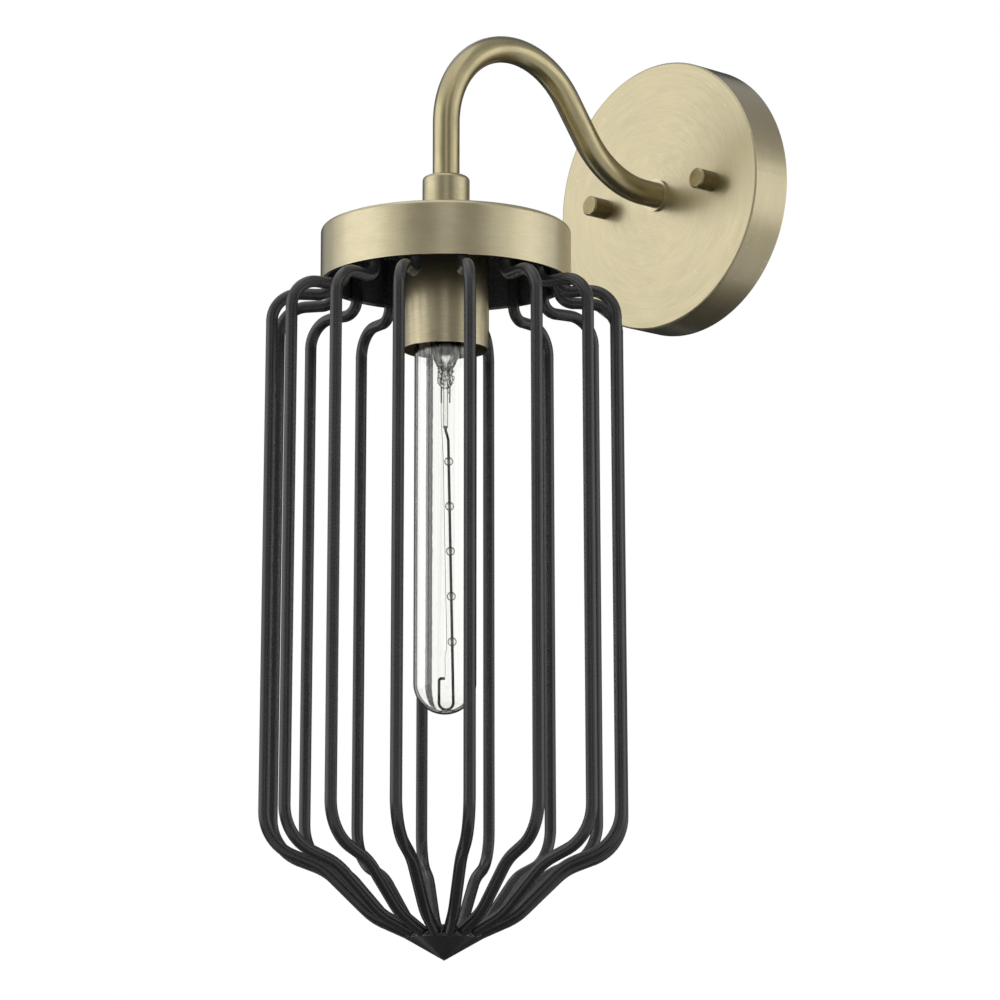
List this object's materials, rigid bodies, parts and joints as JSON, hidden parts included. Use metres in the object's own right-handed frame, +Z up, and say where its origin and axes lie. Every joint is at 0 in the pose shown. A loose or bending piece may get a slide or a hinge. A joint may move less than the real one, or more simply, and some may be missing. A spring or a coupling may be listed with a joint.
{
  "type": "cage wall light",
  "caption": "Wall light with a gooseneck arm from a round plate, a drum cap and a tall cage of bent rods that gather in a pointed tip round a long tubular lamp.",
  "frame": {"origin": "middle of the wall plate's back, in the plane of the wall", "axes": "+Z up, +Y into the wall, +X to the right when facing the wall"},
  "size_m": [0.159, 0.2346, 0.4266],
  "materials": {
    "antique_brass": "satin brushed antique brass, clear lacquered",
    "black_steel": "satin black powder coat on bent steel rod",
    "zinc_steel": "bright zinc plate",
    "ground_green": "green zinc plate",
    "phenolic": "moulded black phenolic",
    "bright_brass": "bare pressed brass",
    "nickel": "nickel plate",
    "clear_glass": "clear glass with a faint warm tint",
    "dark_wire": "oxidised wire"
  },
  "bodies": {
    "root": {"mounting_strap": "zinc_steel", "strap_studs": "zinc_steel", "stud_hex_nuts": "zinc_steel", "ground_screw": "ground_green", "backplate": "antique_brass", "arm_collar": "antique_brass", "arm_tube": "antique_brass", "arm_nipple": "zinc_steel", "arm_lock_washer": "zinc_steel", "arm_hex_nut": "zinc_steel", "coupling": "antique_brass", "cap": "antique_brass", "cage_hub": "black_steel", "cage_rod_01": "black_steel", "cage_rod_02": "black_steel", "cage_rod_03": "black_steel", "cage_rod_04": "black_steel", "cage_rod_05": "black_steel", "cage_rod_06": "black_steel", "cage_rod_07": "black_steel", "cage_rod_08": "black_steel", "cage_rod_09": "black_steel", "cage_rod_10": "black_steel", "cage_rod_11": "black_steel", "cage_rod_12": "black_steel", "cage_rod_13": "black_steel", "cage_rod_14": "black_steel", "cage_rod_15": "black_steel", "cage_rod_16": "black_steel", "cage_tip": "black_steel", "socket_nipple": "zinc_steel", "socket_lock_washer": "zinc_steel", "socket_hex_nut": "zinc_steel", "socket_cup": "antique_brass", "lampholder": "phenolic", "terminal_screws": "bright_brass", "screw_shell": "bright_brass", "centre_contact": "bright_brass"},
    "knob_left": {"knob_left": "antique_brass"},
    "knob_right": {"knob_right": "antique_brass"},
    "lamp_core": {"lamp_contact": "bright_brass", "lamp_insulator": "phenolic"},
    "lamp": {"lamp_cap": "nickel", "lamp_glass": "clear_glass", "lamp_stem": "clear_glass", "lamp_leads": "nickel", "lamp_spine": "dark_wire", "lamp_beads": "clear_glass", "lamp_filament": "dark_wire"}
  },
  "joints": [
    {"name": "knob_left_turn", "type": "hinge", "parent": "root", "child": "knob_left", "pos_m": [-0.035, -0.026, 0], "axis": [0, -1, 0], "range_deg": [0, 3600]},
    {"name": "knob_right_turn", "type": "hinge", "parent": "root", "child": "knob_right", "pos_m": [0.035, -0.026, 0], "axis": [0, -1, 0], "range_deg": [0, 3600]},
    {"name": "lamp_travel", "type": "slide", "parent": "root", "child": "lamp_core", "axis": [0, 0, -1], "range_m": [0, 0.02]},
    {"name": "lamp_turn", "type": "hinge", "parent": "lamp_core", "child": "lamp", "pos_m": [0, -0.15508, -0.08], "axis": [0, 0, -1], "range_deg": [0, 1980]}
  ],
  "couplings": [
    {"joint": "lamp_travel", "follows": "lamp_turn", "m_per_rad": 0.00057757}
  ]
}
